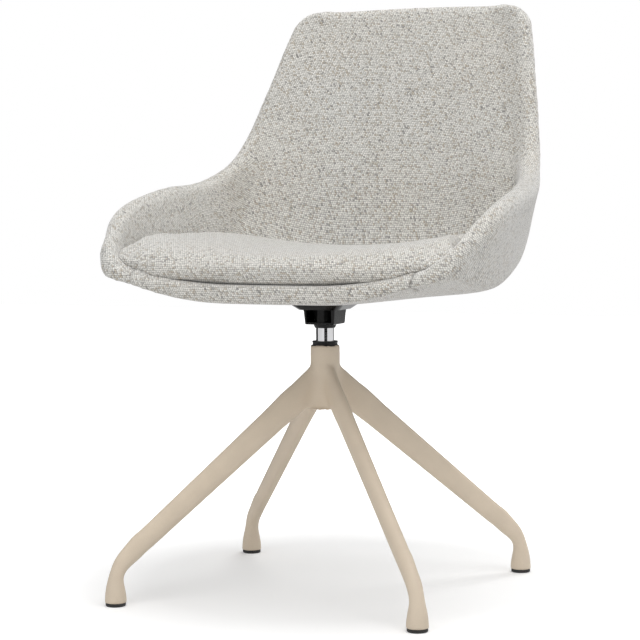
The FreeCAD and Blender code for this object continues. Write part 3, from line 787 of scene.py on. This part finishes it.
class CHAIR_OT_stage(bpy.types.Operator):
    """Plain pale floor, soft light and the camera"""
    bl_idname = "chair.stage"
    bl_label = "Set Stage"

    def execute(self, context):
        settings = context.scene.chair_stage
        start_afresh()
        bpy.ops.mesh.primitive_plane_add(size=2 * settings.floor_reach, location=(0, 0, 0))
        floor = context.object
        floor.name = "floor"
        floor.data.materials.append(painted_glow_floor())
        room_light(context.scene, settings)
        for name, (place, size, share) in LAMPS.items():
            lamp(name, place, size, settings.key * share)
        for name, (first, last) in FLAGS.items():
            dark_flag(name, settings, first, last)
        camera = bpy.data.objects.new("camera", bpy.data.cameras.new("camera"))
        context.collection.objects.link(camera)
        camera.data.sensor_width = 36.0
        camera.data.lens = settings.lens
        camera.data.shift_x = settings.shift
        camera.data.clip_end = 50.0
        camera.matrix_world = camera_place(settings)
        context.scene.camera = camera
        context.scene.view_settings.view_transform = "Standard"
        return {"FINISHED"}


def camera_place(settings):
    """Where the camera stands and how it is turned."""
    turn = settings.azimuth
    ahead = Vector((-math.sin(turn), math.cos(turn), 0))
    right = Vector((math.cos(turn), math.sin(turn), 0))
    up = Vector((0, 0, 1))
    look = ahead * math.cos(settings.pitch) - up * math.sin(settings.pitch)
    over = up * math.cos(settings.pitch) + ahead * math.sin(settings.pitch)
    side = right * math.cos(settings.roll) + over * math.sin(settings.roll)
    over = over * math.cos(settings.roll) - right * math.sin(settings.roll)
    matrix = Matrix((side, over, -look)).transposed().to_4x4()
    matrix.translation = -ahead * settings.distance + Vector((0, COLUMN_Y, settings.height))
    return matrix


def lamp(name, place, size, power):
    """A square soft lamp aimed at the seat and left out of reflections."""
    data = bpy.data.lights.new(name, "AREA")
    data.shape = "SQUARE"
    data.size = size
    data.energy = power
    obj = bpy.data.objects.new(name, data)
    bpy.context.collection.objects.link(obj)
    obj.location = place
    obj.visible_glossy = False
    aim = Vector(LAMP_AIM) - Vector(place)
    obj.rotation_euler = aim.to_track_quat("-Z", "Y").to_euler()


def dark_flag(name, settings, first, last):
    """A black studio flag round the chair, seen only in the chair's reflections."""
    start_afresh()
    bpy.ops.mesh.primitive_cylinder_add(vertices=120, radius=FLAG_RADIUS, depth=FLAG_HEIGHT,
                                        end_fill_type="NOTHING", location=(0, 0, FLAG_HEIGHT / 2))
    obj = bpy.context.object
    obj.name = name
    bpy.ops.object.transform_apply(location=True)
    bpy.ops.object.mode_set(mode="EDIT")
    bpy.ops.mesh.select_all(action="DESELECT")
    bpy.ops.object.mode_set(mode="OBJECT")
    for face in obj.data.polygons:
        turn = math.degrees(math.atan2(face.center.x, -face.center.y) - settings.azimuth)
        face.select = (turn - first) % 360 > last - first
    bpy.ops.object.mode_set(mode="EDIT")
    bpy.ops.mesh.select_mode(type="FACE")
    bpy.ops.mesh.delete(type="FACE")
    bpy.ops.object.mode_set(mode="OBJECT")
    finish = Finish("flag_cloth")
    finish.set(Base_Color=(0.0, 0.0, 0.0, 1.0), Roughness=1.0, Specular_IOR_Level=0.0)
    obj.data.materials.append(finish.material)
    obj.visible_camera = obj.visible_diffuse = obj.visible_shadow = obj.visible_transmission = False


def room_light(scene, settings):
    """Even light from all round, and white where the camera or a reflection looks past the chair."""
    world = scene.world or bpy.data.worlds.new("room")
    scene.world = world
    world.use_nodes = True
    tree = world.node_tree
    tree.nodes.clear()
    output = tree.nodes.new("ShaderNodeOutputWorld")
    path = tree.nodes.new("ShaderNodeLightPath")
    mix = tree.nodes.new("ShaderNodeMixShader")
    seen = tree.nodes.new("ShaderNodeMath")
    seen.operation = "MAXIMUM"
    tree.links.new(path.outputs["Is Camera Ray"], seen.inputs[0])
    tree.links.new(path.outputs["Is Glossy Ray"], seen.inputs[1])
    tree.links.new(seen.outputs[0], mix.inputs[0])
    for socket, strength in ((mix.inputs[1], settings.sky), (mix.inputs[2], 1.0)):
        light = tree.nodes.new("ShaderNodeBackground")
        light.inputs["Color"].default_value = WHITE
        light.inputs["Strength"].default_value = strength
        tree.links.new(light.outputs[0], socket)
    tree.links.new(mix.outputs[0], output.inputs["Surface"])


def painted_glow_floor():
    """White paint with a painted glow that is weak near the chair, so that a painted shade lies round it
    with the lamps' shadow, and that fades the floor into the white behind it.
    """
    finish = Finish("painted_glow_floor")
    finish.set(Base_Color=(0.84, 0.84, 0.84, 1.0), Roughness=0.9)
    glow = finish.node("ShaderNodeEmission", {"Color": WHITE})
    path = finish.node("ShaderNodeLightPath")
    seen = finish.node("ShaderNodeMath", {1: GLOW_IN_REFLECTIONS}, operation="MULTIPLY_ADD")
    finish.link(path.outputs["Is Glossy Ray"], seen.inputs[0])
    finish.link(path.outputs["Is Camera Ray"], seen.inputs[2])
    far = finish.node("ShaderNodeVectorMath", operation="LENGTH")
    finish.link(finish.node("ShaderNodeTexCoord").outputs["Object"], far.inputs[0])
    # Glow weak near the chair and strong far off: painted shade round the chair
    rise = finish.ranged(far.outputs["Value"], GLOW_FROM, GLOW_TO, GLOW_NEAR, GLOW_FAR)
    lift = finish.node("ShaderNodeMath", operation="MULTIPLY")
    finish.link(rise, lift.inputs[0])
    finish.link(seen.outputs[0], lift.inputs[1])
    finish.link(lift.outputs[0], glow.inputs["Strength"])
    both = finish.node("ShaderNodeAddShader")
    finish.link(finish.shader.outputs[0], both.inputs[0])
    finish.link(glow.outputs[0], both.inputs[1])
    finish.link(both.outputs[0], finish.tree.nodes["Material Output"].inputs["Surface"])
    return finish.material


OPERATORS = (CHAIR_OT_shell_upholstery, CHAIR_OT_seat_cushion,
             CHAIR_OT_base_finish, CHAIR_OT_swivel_finish, CHAIR_OT_stage)


class CHAIR_PT_panel(bpy.types.Panel):
    """Lists the chair's pieces and its settings"""
    bl_idname = "CHAIR_PT_panel"
    bl_label = "Swivel Dining Chair"
    bl_space_type = "VIEW_3D"
    bl_region_type = "UI"
    bl_category = "Chair"

    def draw(self, context):
        column = self.layout.column()
        for operator in OPERATORS:
            column.operator(operator.bl_idname)
        scene = context.scene
        for group in (scene.chair_upholstery, scene.chair_metalwork, scene.chair_stage):
            box = self.layout.box()
            for name in group.__annotations__:
                box.prop(group, name)


CLASSES = (UpholsterySettings, MetalworkSettings, StageSettings) + OPERATORS + (CHAIR_PT_panel,)


def register():
    for cls in CLASSES:
        bpy.utils.register_class(cls)
    bpy.types.Scene.chair_upholstery = PointerProperty(type=UpholsterySettings)
    bpy.types.Scene.chair_metalwork = PointerProperty(type=MetalworkSettings)
    bpy.types.Scene.chair_stage = PointerProperty(type=StageSettings)


def unregister():
    del bpy.types.Scene.chair_upholstery
    del bpy.types.Scene.chair_metalwork
    del bpy.types.Scene.chair_stage
    for cls in reversed(CLASSES):
        bpy.utils.unregister_class(cls)


def main():
    register()
    bpy.ops.chair.shell_upholstery()
    bpy.ops.chair.seat_cushion()
    bpy.ops.chair.base_finish()
    bpy.ops.chair.swivel_finish()
    bpy.ops.chair.stage()


if __name__ == "__main__":
    main()
